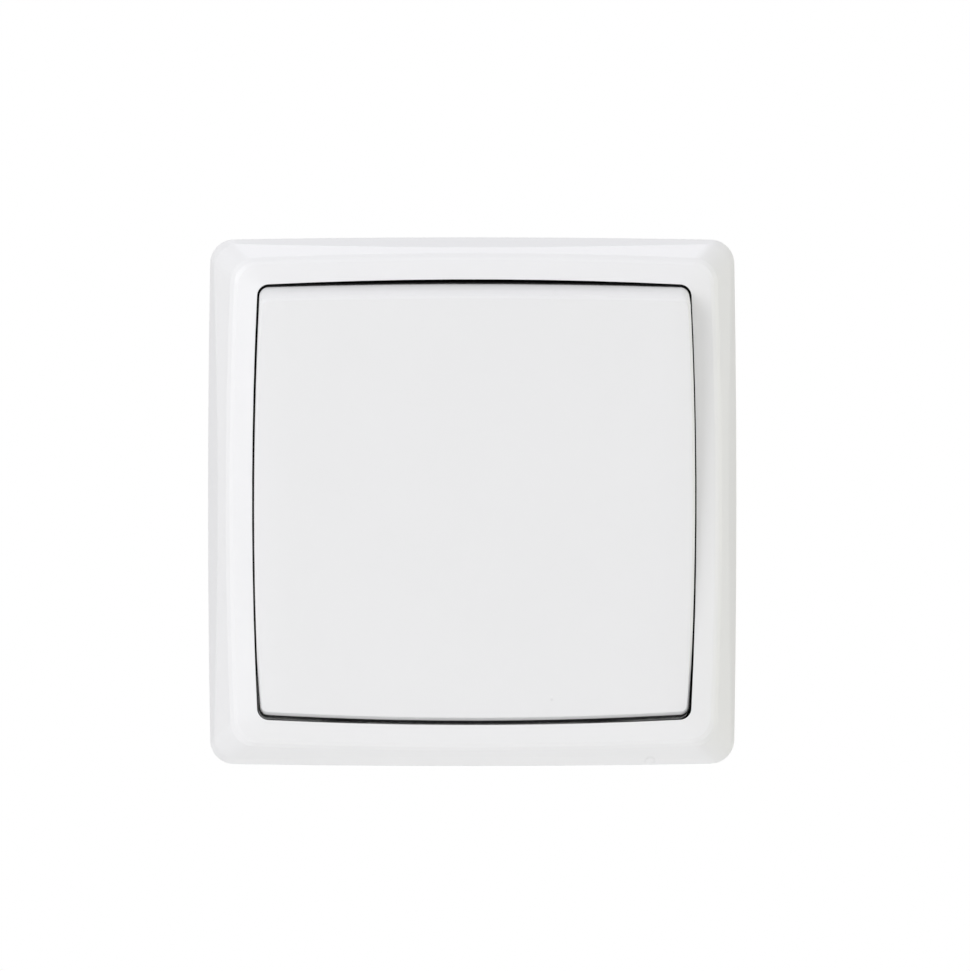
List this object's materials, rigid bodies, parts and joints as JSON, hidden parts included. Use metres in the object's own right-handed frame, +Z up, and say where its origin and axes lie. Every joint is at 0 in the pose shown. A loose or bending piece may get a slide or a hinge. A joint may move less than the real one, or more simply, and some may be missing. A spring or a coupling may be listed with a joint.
{
  "type": "push button light switch",
  "caption": "Flush wall push button light switch with a full-size tilting push plate in a square frame, a contact mechanism, screw terminals and fixing claws.",
  "frame": {"origin": "centre of the four box screw slots, in the wall plane at the carrier's back", "axes": "+X right, +Z up, +Y into the wall, so the front looks along -Y"},
  "size_m": [0.081, 0.038, 0.081],
  "materials": {
    "white_plastic": "satin moulded white",
    "housing_moulding": "matt moulded light grey",
    "zinc_steel": "zinc-plated pressed steel",
    "contact_brass": "plain brass strip",
    "silver_tips": "dull silver",
    "spring_steel": "bright spring wire"
  },
  "bodies": {
    "base": {"cover_frame": "white_plastic", "support_plate": "zinc_steel", "base_housing": "housing_moulding", "mechanism_cover": "housing_moulding", "fixed_contacts": "silver_tips", "terminal_bar_right": "contact_brass", "terminal_bar_left": "contact_brass", "return_spring": "spring_steel"},
    "button": {"push_plate": "white_plastic", "rocker_cradle": "housing_moulding"},
    "plunger": {"plunger": "housing_moulding", "contact_spring": "spring_steel", "contact_bridge": "contact_brass", "bridge_contacts": "silver_tips"},
    "claw_right": {"claw_right": "zinc_steel"},
    "claw_screw_right": {"claw_screw_right": "zinc_steel"},
    "claw_nut_right": {"claw_nut_right": "zinc_steel"},
    "terminal_screw_right": {"terminal_screw_right": "zinc_steel"},
    "terminal_cage_right": {"terminal_cage_right": "zinc_steel"},
    "claw_left": {"claw_left": "zinc_steel"},
    "claw_screw_left": {"claw_screw_left": "zinc_steel"},
    "claw_nut_left": {"claw_nut_left": "zinc_steel"},
    "terminal_screw_left": {"terminal_screw_left": "zinc_steel"},
    "terminal_cage_left": {"terminal_cage_left": "zinc_steel"}
  },
  "joints": [
    {"name": "button_tilt", "type": "hinge", "parent": "base", "child": "button", "pos_m": [0, -0.0015, 0], "axis": [-1, 0, 0], "range_deg": [0, 10], "stiffness_Nm_per_rad": 0.344, "springref_deg": -10},
    {"name": "plunger_slide", "type": "slide", "parent": "base", "child": "plunger", "axis": [0, 1, 0], "range_m": [0, 0.00166], "deforming": ["return_spring"]},
    {"name": "claw_screw_right_turn", "type": "hinge", "parent": "base", "child": "claw_screw_right", "pos_m": [0.0222, 0, 0], "axis": [0, 1, 0], "range_deg": [0, 750.4]},
    {"name": "claw_nut_right_slide", "type": "slide", "parent": "base", "child": "claw_nut_right", "axis": [0, -1, 0], "range_m": [0, 0.00104]},
    {"name": "claw_right_swing", "type": "hinge", "parent": "base", "child": "claw_right", "pos_m": [0.0182, 0.0034, 0], "axis": [0, 0, -1], "range_deg": [0, 16.01]},
    {"name": "terminal_screw_right_turn", "type": "hinge", "parent": "base", "child": "terminal_screw_right", "pos_m": [0.009, 0.01846, 0], "axis": [0, 0, 1], "range_deg": [0, 1080]},
    {"name": "terminal_cage_right_slide", "type": "slide", "parent": "base", "child": "terminal_cage_right", "axis": [0, 0, -1], "range_m": [0, 0.0018]},
    {"name": "claw_screw_left_turn", "type": "hinge", "parent": "base", "child": "claw_screw_left", "pos_m": [-0.0222, 0, 0], "axis": [0, 1, 0], "range_deg": [0, 750.4]},
    {"name": "claw_nut_left_slide", "type": "slide", "parent": "base", "child": "claw_nut_left", "axis": [0, -1, 0], "range_m": [0, 0.00104]},
    {"name": "claw_left_swing", "type": "hinge", "parent": "base", "child": "claw_left", "pos_m": [-0.0182, 0.0034, 0], "axis": [0, 0, 1], "range_deg": [0, 16.01]},
    {"name": "terminal_screw_left_turn", "type": "hinge", "parent": "base", "child": "terminal_screw_left", "pos_m": [-0.009, 0.01846, 0], "axis": [0, 0, 1], "range_deg": [0, 1080]},
    {"name": "terminal_cage_left_slide", "type": "slide", "parent": "base", "child": "terminal_cage_left", "axis": [0, 0, -1], "range_m": [0, 0.0018]}
  ],
  "couplings": [
    {"joint": "plunger_slide", "follows": "button_tilt", "m_per_rad": 0.0094879},
    {"joint": "claw_screw_right_turn", "follows": "claw_nut_right_slide", "rad_per_m": 12566},
    {"joint": "claw_right_swing", "follows": "claw_nut_right_slide", "rad_per_m": 267.94},
    {"joint": "terminal_screw_right_turn", "follows": "terminal_cage_right_slide", "rad_per_m": 10472},
    {"joint": "claw_screw_left_turn", "follows": "claw_nut_left_slide", "rad_per_m": 12566},
    {"joint": "claw_left_swing", "follows": "claw_nut_left_slide", "rad_per_m": 267.94},
    {"joint": "terminal_screw_left_turn", "follows": "terminal_cage_left_slide", "rad_per_m": 10472}
  ]
}
